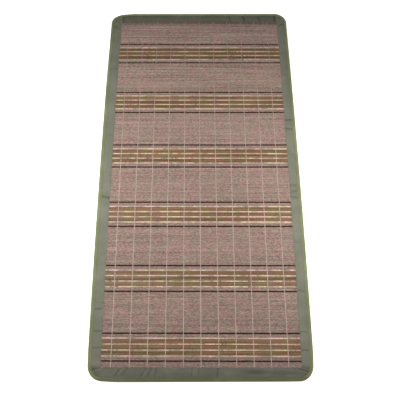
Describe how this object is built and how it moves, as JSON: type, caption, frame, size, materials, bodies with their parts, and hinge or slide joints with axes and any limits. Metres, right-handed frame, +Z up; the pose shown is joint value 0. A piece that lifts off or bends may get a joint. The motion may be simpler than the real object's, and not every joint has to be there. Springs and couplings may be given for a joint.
{
  "type": "bamboo mat",
  "caption": "Flat rectangular bamboo sleeping mat with rounded corners, striped bands of wide slats across it, a folded cloth border and a narrow edge tape round its rim.",
  "frame": {"origin": "on the floor under the middle of the mat", "axes": "+X across the width, +Y along the length towards the far end of the picture, +Z up"},
  "size_m": [0.9116, 1.8, 0.0056],
  "materials": {
    "bamboo": "smooth, slightly glossy splints in pinkish brown, with wider brown slats and narrow cream and dark ones in six bands",
    "border_cloth": "matt plain-woven cloth in grey green",
    "edge_tape": "matt woven tape in olive green"
  },
  "bodies": {
    "root": {"bamboo_panel": "bamboo", "binding_left": "border_cloth", "binding_right": "border_cloth", "binding_far": "border_cloth", "binding_near": "border_cloth", "edge_tape": "edge_tape"}
  },
  "joints": []
}
